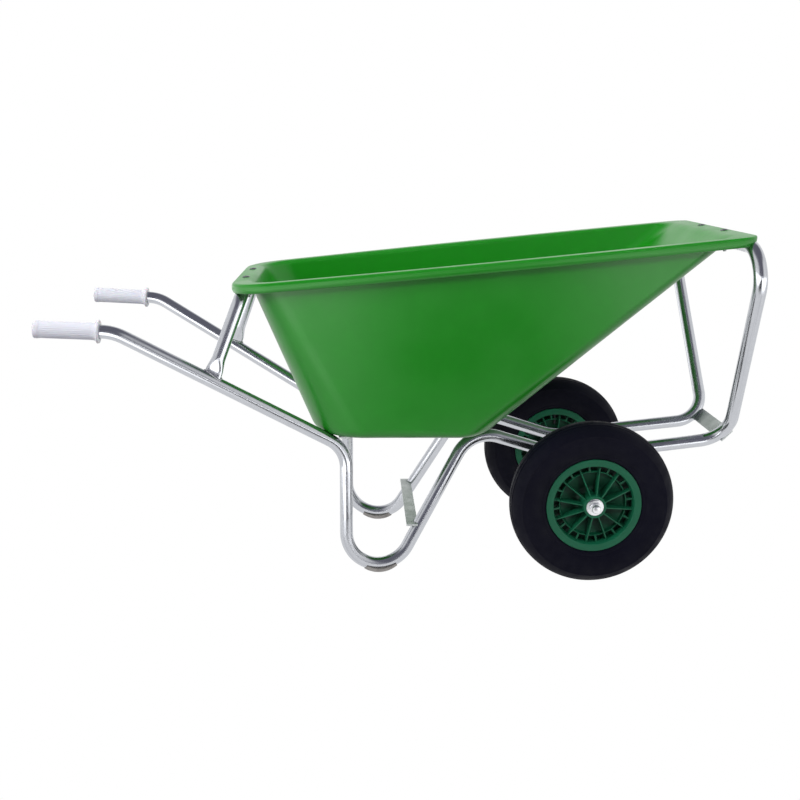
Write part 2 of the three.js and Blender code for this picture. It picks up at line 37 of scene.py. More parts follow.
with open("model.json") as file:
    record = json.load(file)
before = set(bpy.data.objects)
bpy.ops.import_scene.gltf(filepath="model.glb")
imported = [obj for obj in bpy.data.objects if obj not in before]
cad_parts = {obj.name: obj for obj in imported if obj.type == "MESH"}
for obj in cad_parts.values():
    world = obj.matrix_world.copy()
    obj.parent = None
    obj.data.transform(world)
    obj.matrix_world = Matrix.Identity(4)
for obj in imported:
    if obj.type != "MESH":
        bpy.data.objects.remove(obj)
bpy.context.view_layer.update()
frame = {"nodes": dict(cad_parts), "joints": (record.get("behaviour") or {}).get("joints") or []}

# ---- Driving dimensions -------------------------------------------------------------

MM = 0.001
AXLE = np.array(frame["joints"][0]["pos_m"]) * (1, 0, 1)
WHEEL_Y = abs(frame["joints"][0]["pos_m"][1])
SIDES = {"left": 1, "right": -1}

TUBE_RADIUS = 16 * MM
TUBE_WALL = 1.5 * MM
STRIP_HALF_THICKNESS = 2.5 * MM
NOSE_BRACE_HALF_WIDTH = 19 * MM
REST_THICKNESS = 4 * MM

# Corners of the left frame tube before bending, forwards from the axle, and the bend
# radius at each.
FRAME_CORNERS = [
    ((-1300, 296, 631), 0),
    ((-1123, 291, 623), 100),
    ((-596, 180, 315), 80),  # handle to leg
    ((-596, 241, -208.5), 83),  # the leg's U, which stands on the ground
    ((-281, 118, 347), 90),  # leg to the run under the tub
    ((-32, 108, 270), 150),
    ((384, 100, 317), 75),  # run to the front upright
    ((340, 380, 819.5), 68),  # upright to the nose bar
    ((340, 0, 819.5), 0),
]
GRIP_LENGTH = 147 * MM
GRIP_RADIUS = 20.5 * MM
GRIP_COLLAR = 27 * MM
GRIP_END = 4 * MM  # the thickness of the closed end
GRIP_FLUTES = 27
FLUTE_DEPTH = 0.45 * MM

# The lip of the tub lies in one plane, which rises to the front.
RIM_HEIGHT_AT_AXLE = 809.5 * MM
RIM_RISE = 0.1
EDGE = dict(rear=-865, front=356, rear_corner=104, front_corner=45)
WALL_TOP = dict(rear=-822, front=309, rear_corner=80, front_corner=55)
FLOOR = dict(rear=-671, front=-258, rear_corner=125, front_corner=70)
FLANGE = 30 * MM
EDGE_HALF_WIDTH = 312 * MM
EDGE_BOW = 0.073
WIDEST_X = -50 * MM
FLOOR_Z = 349 * MM
FLOOR_HALF_WIDTH = 234 * MM
TUB_WALL = 5 * MM
LIP_THICKNESS = 5 * MM
SKIRT_DROP = 18 * MM
SKIRT_THICKNESS = 4 * MM
SKIRT_LEAN = 3.5 * MM

# The rear support's left upper corner and left foot, forwards from the axle. The foot is
# pressed flat.
SUPPORT_BAR = (-837, 203, 704.3)
SUPPORT_FOOT = (-911, 246.2, 504)
SUPPORT_BEND = 45 * MM
FOOT_HALF_WIDTH = 21 * MM
FOOT_HALF_THICKNESS = 8.5 * MM
BOLT_Y = 90 * MM

# The wheel's rim. Its profiles below are in millimetres, as (radius, y, corner radius).
WINDOWS = 24
SPOKES = 12
BEARING_RADIUS = 21.3

# Where the camera stands, matched to the photo.
CAMERA_PLACE = (-0.1181, -2.7236, 1.0309)
CAMERA_AZIMUTH, CAMERA_ELEVATION, CAMERA_ROLL = radians(-2.451), radians(13.142), radians(0.383)
CAMERA_LENS = 48.19

# The room that lights the object. Each pair is where a change starts and ends, along one
# axis of a direction's unit vector.
ROOM_COLOUR = (0.18, 0.18, 0.22)
WHITE_BEHIND = (-0.55, -0.1)
WHITE_AT_THE_ENDS = [(0.3, 0.65), (-0.4, -0.8)]
DARK_CEILING = (0.55, 0.85)
HORIZON = (-0.06, -0.02)
LIGHT_FROM_BELOW = 0.3

# The floor as the object mirrors it.
NEAR_FLOOR = (-1.1, -0.8)  # the Y where the white floor starts, and where it is fully white
# The cards on the floor in front: the X where each starts, the X where it is fully bright, the
# floor's glow before it and its own.
FRONT_CARDS = [(0.05, -0.7, 0.04, 2.7), (0.6, 1.3, 0.04, 2.5)]
SIDE_CARD = (-1.2, -1.7, 0, 0.8)  # the same, for a card at the rear that lies over the white

LIGHTS = {  # each light's place, size and power
    "key": ((-3.4, -1.8, 2.2), (1.4, 1.8), 80),
    "overhead": ((0.0, -0.2, 3.4), (2.6, 0.9), 32),
    "front": ((1.2, -3.6, 2.6), (0.8, 0.8), 52),
}

# ---- Vectors and meshes -------------------------------------------------------------


def unit(vector):
    return vector / np.linalg.norm(vector)


def from_axle(point):
    """A point given in millimetres forwards from the axle, in the row frame in metres."""
    return np.array(point, float) * MM + (AXLE[0], 0, 0)


def mirrored(points, side):
    return np.asarray(points) * (1, side, 1)


def loft(rings, loop=False, caps=True):
    """A skin over rings of points. A loop joins the last ring to the first."""
    rings = np.asarray(rings, float)
    count, around, _ = rings.shape
    faces = []
    for band in range(count if loop else count - 1):
        here = band * around
        there = (band + 1) % count * around
        for i in range(around):
            j = (i + 1) % around
            faces.append((here + i, here + j, there + j, there + i))
    if caps and not loop:
        faces.append(tuple(reversed(range(around))))
        faces.append(tuple(range((count - 1) * around, count * around)))
    return rings.reshape(-1, 3), faces


def joined(*shells):
    points, faces = [], []
    for shell_points, shell_faces in shells:
        first = len(points)
        points.extend(map(tuple, shell_points))
        faces.extend(tuple(first + i for i in face) for face in shell_faces)
    return np.array(points), faces


def turned(profile, segments=96, offset=(0, 0, 0)):
    """A closed profile of (radius, y) points turned about Y."""
    profile = np.array(profile, float)
    rings = []
    for angle in np.linspace(0, 2 * pi, segments, endpoint=False):
        x = profile[:, 0] * sin(angle)
        z = profile[:, 0] * cos(angle)
        rings.append(np.stack([x, profile[:, 1], z], axis=1) + offset)
    return loft(rings, loop=True)


def rounded_profile(corners, steps=5):
    """A closed outline of (a, b, radius) corners, each rounded by a short curve."""
    points = []
    for i, (a, b, radius) in enumerate(corners):
        here = np.array([a, b], float)
        before = np.array(corners[i - 1][:2], float) - here
        after = np.array(corners[(i + 1) % len(corners)][:2], float) - here
        reach = min(radius, 0.48 * np.linalg.norm(before), 0.48 * np.linalg.norm(after))
        if reach < 1e-7:
            points.append(here)
            continue
        start = here + unit(before) * reach
        end = here + unit(after) * reach
        for t in np.linspace(0, 1, steps):
            points.append(start * (1 - t) ** 2 + here * 2 * t * (1 - t) + end * t**2)
    return np.array(points)


def bent_path(corners, step=radians(5)):
    """Points and headings along corners whose bends are true arcs."""
    at = [np.array(point, float) for point, _ in corners]
    headings = [unit(end - start) for start, end in zip(at, at[1:])]
    points, tangents = [at[0]], [headings[0]]
    for i in range(1, len(at) - 1):
        before, after = headings[i - 1], headings[i]
        turn = acos(np.clip(before @ after, -1, 1))
        radius = corners[i][1]
        start = at[i] - before * radius * tan(turn / 2)
        inward = unit(after - before * (after @ before))
        for angle in np.linspace(0, turn, ceil(turn / step) + 1):
            arc = before * sin(angle) + inward * (1 - cos(angle))
            points.append(start + radius * arc)
            tangents.append(before * cos(angle) + inward * sin(angle))
    points.append(at[-1])
    tangents.append(headings[-1])
    return np.array(points), np.array(tangents)


def swept(points, tangents, section, first_normal):
    """Rings of section(i), an array of (a, b) points, carried along a path without twist."""
    normal = Vector(first_normal)
    last = Vector(tangents[0])
    rings = []
    for i, (point, tangent) in enumerate(zip(points, tangents)):
        tangent = Vector(tangent)
        normal.rotate(last.rotation_difference(tangent))
        normal = (normal - tangent * normal.dot(tangent)).normalized()
        side = np.array(tangent.cross(normal))
        shape = section(i)
        rings.append(point + np.outer(shape[:, 0], normal) + np.outer(shape[:, 1], side))
        last = tangent
    return rings


def ellipse(half_a, half_b, sides=40):
    angles = np.linspace(0, 2 * pi, sides, endpoint=False)
    return np.stack([half_a * np.cos(angles), half_b * np.sin(angles)], axis=1)


def mesh_object(name, shell, sharp=38, streaks=None):
    """A mesh with its normals turned outwards. streaks holds one vector for each point."""
    points, faces = shell
    mesh = bpy.data.meshes.new(name)
    mesh.from_pydata([tuple(p) for p in points], [], faces)
    if streaks is not None:
        layer = mesh.attributes.new("streaks", "FLOAT_VECTOR", "POINT")
        layer.data.foreach_set("vector", np.asarray(streaks, np.float32).ravel())
    work = bmesh.new()
    work.from_mesh(mesh)
    bmesh.ops.remove_doubles(work, verts=work.verts, dist=1e-6)
    bmesh.ops.dissolve_degenerate(work, edges=work.edges, dist=1e-7)
    bmesh.ops.recalc_face_normals(work, faces=work.faces)
    work.to_mesh(mesh)
    work.free()
    mesh.shade_smooth()
    mesh.set_sharp_from_angle(angle=radians(sharp))
    made = bpy.data.objects.new(name, mesh)
    bpy.context.scene.collection.objects.link(made)
    return made


def piece(name, shell, material, nodes=(), body="frame", at=None, sharp=38, streaks=None):
    """A visible piece that rides on a body and may stand for CAD nodes."""
    made = mesh_object(name, shell, sharp, streaks)
    made.data.materials.append(material)
    if at is not None:
        made.location = at
    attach(made, body)
    if nodes:
        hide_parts(*nodes)
    return made


def bevel(made, width, segments=2):
    modifier = made.modifiers.new("edges", "BEVEL")
    modifier.width = width
    modifier.segments = segments
    modifier.limit_method = "ANGLE"
    return made


# ---- Materials ----------------------------------------------------------------------


class Finish:
    """A principled material with the few procedural steps that every finish here uses."""

    def __init__(self, name, colour, roughness, metallic=0.0, **sockets):
        self.material = bpy.data.materials.new(name)
        self.material.use_nodes = True
        self.material.diffuse_color = (*colour, 1)
        self.tree = self.material.node_tree
        self.shader = self.tree.nodes["Principled BSDF"]
        self.colour = colour
        self.shader.inputs["Base Color"].default_value = (*colour, 1)
        self.shader.inputs["Roughness"].default_value = roughness
        self.shader.inputs["Metallic"].default_value = metallic
        for socket, value in sockets.items():
            self.shader.inputs[socket.replace("_", " ")].default_value = value
        self.place = self.node("ShaderNodeTexCoord").outputs["Object"]

    def node(self, kind, **values):
        made = self.tree.nodes.new(kind)
        for name, value in values.items():
            setattr(made, name, value)
        return made

    def link(self, output, socket):
        self.tree.links.new(output, socket)

    def noise(self, scale, detail=4, place=None):
        made = self.node("ShaderNodeTexNoise")
        made.inputs["Scale"].default_value = scale
        made.inputs["Detail"].default_value = detail
        self.link(place or self.place, made.inputs["Vector"])
        return made.outputs["Fac"]

    def streaks(self, stretch, scale):
        """Noise that is drawn out along a tube."""
        around = self.node("ShaderNodeAttribute", attribute_name="streaks")
        mapping = self.node("ShaderNodeMapping")
        mapping.inputs["Scale"].default_value = stretch
        self.link(around.outputs["Vector"], mapping.inputs["Vector"])
        return self.noise(scale, 3, mapping.outputs["Vector"])

    def spangle(self, scale):
        """The patches of different grey that zinc crystals make."""
        made = self.node("ShaderNodeTexVoronoi")
        made.inputs["Scale"].default_value = scale
        self.link(self.place, made.inputs["Vector"])
        return made.outputs["Color"]

    def between(self, source, low, high, start=0.3, stop=0.7):
        """The source's values from start to stop, spread from low to high."""
        made = self.node("ShaderNodeMapRange")
        made.inputs["From Min"].default_value = start
        made.inputs["From Max"].default_value = stop
        made.inputs["To Min"].default_value = low
        made.inputs["To Max"].default_value = high
        self.link(source, made.inputs["Value"])
        return made.outputs["Result"]

    def tint(self, amount, colour):
        """Mixes a colour over what the base colour is so far."""
        mix = self.node("ShaderNodeMix", data_type="RGBA")
        base = self.shader.inputs["Base Color"]
        if base.is_linked:
            self.link(base.links[0].from_socket, mix.inputs["A"])
        else:
            mix.inputs["A"].default_value = (*self.colour, 1)
        mix.inputs["B"].default_value = (*colour, 1)
        self.link(amount, mix.inputs["Factor"])
        self.link(mix.outputs["Result"], base)

    def gloss(self, source):
        self.link(source, self.shader.inputs["Roughness"])

    def relief(self, height, depth, strength=1.0):
        """Adds bumps of a real depth in metres on top of what is there so far."""
        made = self.node("ShaderNodeBump")
        made.inputs["Distance"].default_value = depth
        made.inputs["Strength"].default_value = strength
        self.link(height, made.inputs["Height"])
        normal = self.shader.inputs["Normal"]
        if normal.is_linked:
            self.link(normal.links[0].from_socket, made.inputs["Normal"])
        self.link(made.outputs["Normal"], normal)


def scaled(colour, factor):
    return tuple(min(1.0, c * factor) for c in colour)


def tub_plastic():
    green = (0.005, 0.225, 0.004)
    finish = Finish("tub_plastic", green, 0.33, Specular_IOR_Level=0.48)
    finish.tint(finish.between(finish.noise(2.2), 0, 0.35), scaled(green, 0.8))
    finish.tint(finish.between(finish.noise(35, 8), 0, 0.22, 0.45, 0.75), scaled(green, 1.25))
    finish.gloss(finish.between(finish.noise(9, 6), 0.28, 0.38))
    finish.relief(finish.noise(2.5, 2), 0.0012, 0.5)
    finish.relief(finish.noise(700, 3), 0.00006, 0.6)
    return finish.material


def galvanised_tube():
    """Zinc whose streaks run along the tube, from the rolls that formed it."""
    zinc = (0.56, 0.575, 0.61)
    finish = Finish("galvanised_tube", zinc, 0.2, 1.0)
    streaks = finish.streaks((1, 1, 0.9), 2.6)
    finish.tint(finish.between(streaks, 0, 0.45, 0.5, 0.68), (0.36, 0.37, 0.41))
    finish.tint(finish.between(finish.spangle(95), 0, 0.3, 0, 1), scaled(zinc, 0.8))
    finish.tint(finish.between(finish.noise(14, 6), 0, 0.35, 0.5, 0.8), (0.5, 0.52, 0.56))
    finish.gloss(finish.between(finish.noise(24, 8), 0.13, 0.3))
    finish.relief(finish.noise(18, 1), 0.0003, 0.4)
    return finish.material


def galvanised_strip():
    zinc = (0.55, 0.58, 0.57)
    finish = Finish("galvanised_strip", zinc, 0.5, 0.8)
    finish.tint(finish.between(finish.spangle(120), 0, 0.35, 0, 1), scaled(zinc, 0.75))
    finish.gloss(finish.between(finish.noise(30, 8), 0.4, 0.6))
    finish.relief(finish.noise(60, 6), 0.0002, 0.5)
    return finish.material


def worn_steel():
    """Steel made dark partly as painted shade, for plates that lie in shade under the legs, and partly
    scuffed by standing and dragging on the ground.
    """
    # Painted shade: the dark grey base stands in for the shade under the legs; the darker random patches
    # are wear.
    grey = (0.34, 0.325, 0.31)
    finish = Finish("worn_steel", grey, 0.6, 0.7)
    finish.tint(finish.between(finish.noise(45, 6), 0, 0.5, 0.4, 0.7), (0.19, 0.175, 0.165))
    finish.gloss(finish.between(finish.noise(80, 6), 0.45, 0.75))
    finish.relief(finish.noise(220, 6), 0.0003, 0.7)
    return finish.material


def weld_metal():
    grey = (0.36, 0.37, 0.39)
    finish = Finish("weld_metal", grey, 0.5, 0.9)
    finish.tint(finish.between(finish.noise(90, 6), 0, 0.6), (0.62, 0.63, 0.65))
    finish.relief(finish.noise(450, 6), 0.0003, 0.8)
    return finish.material


def bright_steel():
    zinc = (0.9, 0.91, 0.93)
    finish = Finish("bright_steel", zinc, 0.3, 1.0)
    finish.gloss(finish.between(finish.noise(120, 6), 0.24, 0.4))
    finish.tint(finish.between(finish.noise(50, 4), 0, 0.25, 0.5, 0.8), (0.6, 0.61, 0.64))
    finish.relief(finish.noise(500, 4), 0.00004, 0.5)
    return finish.material


def dull_zinc():
    """The weathered zinc of the bolts through the lip."""
    grey = (0.3, 0.31, 0.32)
    finish = Finish("dull_zinc", grey, 0.5, 0.9)
    finish.tint(finish.between(finish.noise(150, 6), 0, 0.5), (0.16, 0.17, 0.17))
    finish.gloss(finish.between(finish.noise(90, 6), 0.4, 0.65))
    finish.relief(finish.noise(500, 4), 0.00006, 0.6)
    return finish.material


def grip_plastic():
    white = (0.72, 0.70, 0.75)
    finish = Finish("grip_plastic", white, 0.5, Subsurface_Weight=0.08, Specular_IOR_Level=0.3)
    finish.tint(finish.between(finish.noise(22, 6), 0, 0.2, 0.4, 0.8), (0.7, 0.7, 0.77))
    finish.gloss(finish.between(finish.noise(60, 6), 0.38, 0.56))
    finish.relief(finish.noise(900, 2), 0.00005, 0.6)
    return finish.material


def tyre_rubber():
    black = (0.003, 0.003, 0.0075)
    finish = Finish("tyre_rubber", black, 0.6, Specular_IOR_Level=0.1)
    finish.tint(finish.between(finish.noise(7, 6), 0, 0.5), (0.004, 0.004, 0.011))
    finish.tint(finish.between(finish.noise(160, 6), 0, 0.4, 0.55, 0.8), (0.01, 0.01, 0.013))
    finish.gloss(finish.between(finish.noise(40, 7), 0.5, 0.75))
    finish.relief(finish.noise(650, 4), 0.0001, 0.7)
    return finish.material


def plain_rubber():
    black = (0.016, 0.016, 0.018)
    finish = Finish("plain_rubber", black, 0.6)
    finish.gloss(finish.between(finish.noise(60, 6), 0.5, 0.75))
    finish.tint(finish.between(finish.noise(120, 6), 0, 0.5), (0.028, 0.028, 0.03))
    finish.relief(finish.noise(500, 3), 0.00008, 0.5)
    return finish.material


def rim_plastic():
    """Green plastic with painted shade: darker the deeper it lies in the dish."""
    green = (0.007, 0.115, 0.054)
    finish = Finish("rim_plastic", green, 0.42, Specular_IOR_Level=0.3)
    finish.tint(finish.between(finish.noise(30, 6), 0, 0.4), scaled(green, 0.7))
    split = finish.node("ShaderNodeSeparateXYZ")
    finish.link(finish.place, split.inputs["Vector"])
    depth = finish.node("ShaderNodeMath", operation="ABSOLUTE")
    finish.link(split.outputs["Y"], depth.inputs[0])
    # Painted shade: the plastic is darkened towards the bottom of the dish, where shadow falls.
    painted_dish_shade = finish.between(depth.outputs["Value"], 0.85, 0, 3 * MM, 16 * MM)
    finish.tint(painted_dish_shade, scaled(green, 0.2))
    finish.gloss(finish.between(finish.noise(50, 6), 0.32, 0.5))
    finish.relief(finish.noise(600, 3), 0.00006, 0.6)
    return finish.material


TUB = tub_plastic()
TUBE = galvanised_tube()
STRIP = galvanised_strip()
WELD = weld_metal()
SHADED_WORN = worn_steel()
BRIGHT = bright_steel()
DULL = dull_zinc()
GRIP = grip_plastic()
TYRE = tyre_rubber()
RUBBER = plain_rubber()
RIM = rim_plastic()

# ---- Frame --------------------------------------------------------------------------


def frame_path():
    return bent_path([(from_axle(point), bend * MM) for point, bend in FRAME_CORNERS])


def bore(shape):
    """The inside of a tube whose outside is shape."""
    return shape * (1 - TUBE_WALL / np.abs(shape).max(axis=0))


def tube_shell(points, tangents, section, first_normal):
    """A hollow tube, and for each of its points the direction from the tube's middle with
    the length along the tube, which the zinc's streaks follow."""
    outer = swept(points, tangents, section, first_normal)
    inner = swept(points, tangents, lambda i: bore(section(i)), first_normal)
    lengths = np.concatenate([[0], np.cumsum(np.linalg.norm(np.diff(points, axis=0), axis=1))])
    streaks = []
    for i, length in enumerate(lengths):
        around = section(i) / np.linalg.norm(section(i), axis=1)[:, None]
        streaks.append(np.column_stack([around, np.full(len(around), length)]))
    streaks = np.concatenate([*streaks, *reversed(streaks)])
    return loft([*outer, *reversed(inner)], loop=True), streaks


def bent_tubes():
    """The two frame tubes. Returns a search tree of each, for the welds that lie on them."""
    points, tangents = frame_path()
    round_section = ellipse(TUBE_RADIUS, TUBE_RADIUS, 48)
    points[0] += tangents[0] * (GRIP_END + 1 * MM)
    trees = {}
    for side, sign in SIDES.items():
        shell, streaks = tube_shell(
            mirrored(points, sign), mirrored(tangents, sign), lambda i: round_section, (0, 0, 1))
        made = piece(f"bent_tube_{side}", shell, TUBE, [f"frame_tube_{side}"],
                     streaks=streaks)
        trees[side] = BVHTree.FromPolygons(
            [v.co for v in made.data.vertices], [p.vertices for p in made.data.polygons])
    nose = points[-1]
    seam = [nose + np.array([sin(a), 0, cos(a)]) * TUBE_RADIUS for a in np.linspace(0, 2 * pi, 97)]
    weld("nose_seam", seam)
    return trees


def weld(name, line, radius=2.0 * MM, ripple=2.6 * MM):
    """A rippled bead along a line of points."""
    line = np.array(line)
    if len(line) < 4:
        return
    closed = np.linalg.norm(line[0] - line[-1]) < 1e-4
    along = np.concatenate([[0], np.cumsum(np.linalg.norm(np.diff(line, axis=0), axis=1))])
    count = max(8, int(along[-1] / (0.65 * MM)))
    even = np.linspace(0, along[-1], count)
    points = np.stack([np.interp(even, along, line[:, k]) for k in range(3)], axis=1)
    tangents = np.gradient(points, axis=0)
    tangents /= np.linalg.norm(tangents, axis=1)[:, None]
    swell = 1 + 0.16 * np.sin(2 * pi * even / ripple)
    if not closed:
        swell *= np.clip(np.minimum(even, along[-1] - even) / (3 * MM), 0.25, 1) ** 0.5
    round_section = ellipse(radius, radius, 10)
    rings = swept(points, tangents, lambda i: round_section * swell[i], sideways(tangents[0]))
    piece(name, loft(rings), WELD)


def sideways(tangent):
    """Any unit vector square to a direction."""
    helper = np.array([0, 0, 1]) if abs(tangent[2]) < 0.8 else np.array([1, 0, 0])
    return unit(np.cross(tangent, helper))


def meeting_line(outline, direction, tree):
    """Where an outline's points, moved along a direction, first meet a surface."""
    runs, run = [], []
    for point in outline:
        hit = tree.ray_cast(Vector(point), Vector(direction))[0]
        if hit is None:
            runs.append(run)
            run = []
        else:
            run.append(np.array(hit))
    runs.append(run)
    return max(runs, key=len)


def rectangle(centre, half_a, half_b, axis_a, axis_b, count=25):
    """Points round a rectangle, and back to the first."""
    corners = [(-1, -1), (1, -1), (1, 1), (-1, 1), (-1, -1)]
    line = []
    for start, end in zip(corners, corners[1:]):
        for t in np.linspace(0, 1, count, endpoint=False):
            a, b = np.array(start) * (1 - t) + np.array(end) * t
            line.append(np.array(centre) + a * half_a * np.array(axis_a) + b * half_b * np.array(axis_b))
    return [*line, line[0]]


def support_path():
    """Points and headings from the left foot over the bar to the right foot, close together
    along the legs, where the tube changes shape."""
    foot, top = from_axle(SUPPORT_FOOT), from_axle(SUPPORT_BAR)
    points, tangents = bent_path([
        (foot, 0), (top, SUPPORT_BEND), (mirrored(top, -1), SUPPORT_BEND), (mirrored(foot, -1), 0)])
    up = [points[0] + (points[1] - points[0]) * t for t in np.linspace(0, 1, 30)[:-1]]
    down = [mirrored(point, -1) for point in reversed(up)]
    path = np.array([*up, *points[1:-1], *down])
    headings = np.array([
        *[tangents[0]] * len(up), *tangents[1:-1], *[tangents[-1]] * len(down)])
    return path, headings, np.linalg.norm(points[1] - points[0])


def rear_support(trees):
    path, headings, leg = support_path()
    ends = np.minimum(
        np.linalg.norm(path - path[0], axis=1), np.linalg.norm(path - path[-1], axis=1))

    def section(i):
        flat = 1 - smooth_step((ends[i] / leg - 0.08) / 0.22)
        half_a = TUBE_RADIUS * (1 - flat) + FOOT_HALF_WIDTH * flat
        half_b = TUBE_RADIUS * (1 - flat) + FOOT_HALF_THICKNESS * flat
        return squared_ellipse(half_a, half_b, 2 + 1.6 * flat)

    shell, streaks = tube_shell(path, headings, section, (1, 0, 0))
    piece("tub_support", shell, TUBE, ["rear_support"], streaks=streaks)
    outline = swept([path[3]], [headings[3]], lambda i: section(0) * 1.02, (1, 0, 0))[0]
    for side, sign in SIDES.items():
        line = meeting_line(
            mirrored([*outline, outline[0]], sign), mirrored(-headings[0], sign), trees[side])
        weld(f"support_foot_weld_{side}", line, 2.2 * MM)


def smooth_step(t):
    t = np.clip(t, 0, 1)
    return t * t * (3 - 2 * t)


def squared_ellipse(half_a, half_b, power, sides=48):
    """An ellipse when power is 2, and closer to a rectangle above that."""
    angles = np.linspace(0, 2 * pi, sides, endpoint=False)
    c, s = np.cos(angles), np.sin(angles)
    return np.stack([
        half_a * np.sign(c) * np.abs(c) ** (2 / power),
        half_b * np.sign(s) * np.abs(s) ** (2 / power)], axis=1)


def leg_brace(trees):
    """The flat strip between the legs, which is the CAD's own, and its welds."""
    strip = frame["nodes"]["leg_brace"]
    strip.data.materials.clear()
    strip.data.materials.append(STRIP)
    bevel(strip, 0.8 * MM)
    low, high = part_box("leg_brace")
    for side, sign in SIDES.items():
        for height in (low.z, high.z):
            start = [(low.x, sign * y, height) for y in np.linspace(0.14, 0.2, 61)]
            hits = meeting_line(start, (1, 0, 0), trees[side])
            weld(f"leg_brace_weld_{side}_{'top' if height == high.z else 'under'}",
                 [hit for hit in hits if hit[0] < high.x], 1.8 * MM)


def nose_brace(trees):
    low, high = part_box("front_brace")
    middle = np.array([(low.x + high.x) / 2, 0, (low.z + high.z) / 2])
    across = unit(np.array([1, 0, 1]))
    through = unit(np.array([-1, 0, 1]))
    ring = [middle + across * a * NOSE_BRACE_HALF_WIDTH + through * b * STRIP_HALF_THICKNESS
            for a, b in ((-1, -1), (1, -1), (1, 1), (-1, 1))]
    rings = [np.array(ring) + (0, y, 0) for y in (low.y, high.y)]
    made = piece("brace_at_nose", loft(rings), STRIP, ["front_brace"])
    bevel(made, 1.0 * MM)
    end = rectangle(middle, NOSE_BRACE_HALF_WIDTH, STRIP_HALF_THICKNESS, across, through)
    for side, sign in SIDES.items():
        weld(f"nose_brace_weld_{side}", meeting_line(end, (0, sign, 0), trees[side]), 1.8 * MM)


def tub_rest():
    """The steel angle that the tub's floor lies on."""
    low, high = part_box("tub_rest")
    t = REST_THICKNESS
    profile = rounded_profile([
        (low.x, high.z, 1 * MM), (high.x, high.z, 3 * MM), (high.x, low.z, 1 * MM),
        (high.x - t, low.z, 1 * MM), (high.x - t, high.z - t, 2 * MM), (low.x, high.z - t, 1 * MM)])
    rings = [[(x, y, z) for x, z in profile] for y in (low.y, high.y)]
    piece("rest_angle", loft(rings), STRIP, ["tub_rest"], sharp=50)


def wear_plates():
    """A crescent-shaped plate under the bottom of each leg, which it stands on."""
    points, tangents = frame_path()
    lowest = points[np.argmin(points[:, 2])]
    half_length = 40 * MM
    near = [i for i in range(len(points)) if np.linalg.norm(points[i] - lowest) < half_length]
    path, headings = points[near], tangents[near]
    inner = TUBE_RADIUS + 0.2 * MM
    spread = np.linspace(radians(-72), radians(72), 25)

    def section(i):
        along = np.linalg.norm(path[i] - lowest) / half_length
        outer = inner + 0.8 * MM + 5.1 * MM * (1 - along**2)
        around = [(-cos(a) * outer, sin(a) * outer) for a in spread]
        around += [(-cos(a) * inner, sin(a) * inner) for a in reversed(spread)]
        return np.array(around)

    for side, sign in SIDES.items():
        rings = np.array(swept(path, headings, section, (0, 0, 1)))
        rings[:, :, 2] = np.maximum(rings[:, :, 2], 0)
        made = piece(f"wear_plate_{side}", loft(mirrored(rings, sign)), SHADED_WORN,
                     [f"foot_shoe_{side}"])
        bevel(made, 0.4 * MM)


def axle_plates(trees):
    """The plates that hang the axle from the frame."""
    for side in SIDES:
        low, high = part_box(f"axle_bracket_{side}")
        half = (high.x - low.x) / 2
        boss = AXLE[2] - low.z
        top = high.z - 6 * MM
        corner = np.array([half, top - AXLE[2]])
        lean = np.arctan2(corner[1], corner[0]) - acos(boss / np.linalg.norm(corner))
        arc = np.linspace(pi - lean, 2 * pi + lean, 30)
        outline = [(-half, top - AXLE[2])]
        outline += [(boss * cos(a), boss * sin(a)) for a in arc]
        outline += [(half, top - AXLE[2])]
        rings = [[(AXLE[0] + x, y, AXLE[2] + z) for x, z in outline] for y in (low.y, high.y)]
        made = piece(f"axle_plate_{side}", loft(rings), STRIP,
                     [f"axle_bracket_{side}"])
        bevel(made, 1.2 * MM)
        centre = [AXLE[0], (low.y + high.y) / 2, top - 3 * MM]
        line = rectangle(centre, half, (high.y - low.y) / 2, (1, 0, 0), (0, 1, 0))
        weld(f"axle_plate_weld_{side}", meeting_line(line, (0, 0, 1), trees[side]), 2.2 * MM)


def hand_grips():
    """Closed plastic grips with fine flutes, a rounded end and a collar."""
    points, tangents = frame_path()
    radius, collar, hole = GRIP_RADIUS, GRIP_COLLAR, TUBE_RADIUS + 0.2 * MM
    profile = rounded_profile([
        (0, 0, 0), (radius, 0, 4 * MM), (radius, 10 * MM, 2 * MM), (radius - 0.8 * MM, 14 * MM, 2 * MM),
        (radius - 0.8 * MM, 132 * MM, 5 * MM), (radius + 1.2 * MM, 140 * MM, 2 * MM),
        (collar, 141 * MM, 2.5 * MM), (collar, GRIP_LENGTH, 2.5 * MM), (hole, GRIP_LENGTH, 1 * MM),
        (hole, GRIP_END, 1 * MM), (0, GRIP_END, 0)], 7)
    angles = np.linspace(0, 2 * pi, 216, endpoint=False)
    rings = []
    for angle in angles:
        fluted = profile.copy()
        body = (profile[:, 1] > 13 * MM) & (profile[:, 1] < 134 * MM) & (profile[:, 0] > 19 * MM)
        fluted[body, 0] -= FLUTE_DEPTH * (0.5 - 0.5 * cos(GRIP_FLUTES * angle))
        x, z = fluted[:, 0] * sin(angle), fluted[:, 0] * cos(angle)
        rings.append(np.stack([x, fluted[:, 1], z], axis=1))
    shell_points, faces = loft(rings, loop=True)
    turn = Vector((0, 1, 0)).rotation_difference(Vector(tangents[0])).to_matrix()
    placed = shell_points @ np.array(turn).T + points[0]
    for side, sign in SIDES.items():
        piece(f"hand_grip_{side}", (mirrored(placed, sign), faces), GRIP, [f"grip_{side}"])


# ---- Tub ----------------------------------------------------------------------------

CORNER_STEPS = 14
SIDE_STEPS = 26
END_STEPS = 8


def rim_height(x):
    """The height of the lip's top, x metres forwards from the axle."""
    return RIM_HEIGHT_AT_AXLE + RIM_RISE * x


def bowed_half_width(x):
    """Half the lip's width: the sides bow outwards a little."""
    return EDGE_HALF_WIDTH - EDGE_BOW * (x - WIDEST_X) ** 2


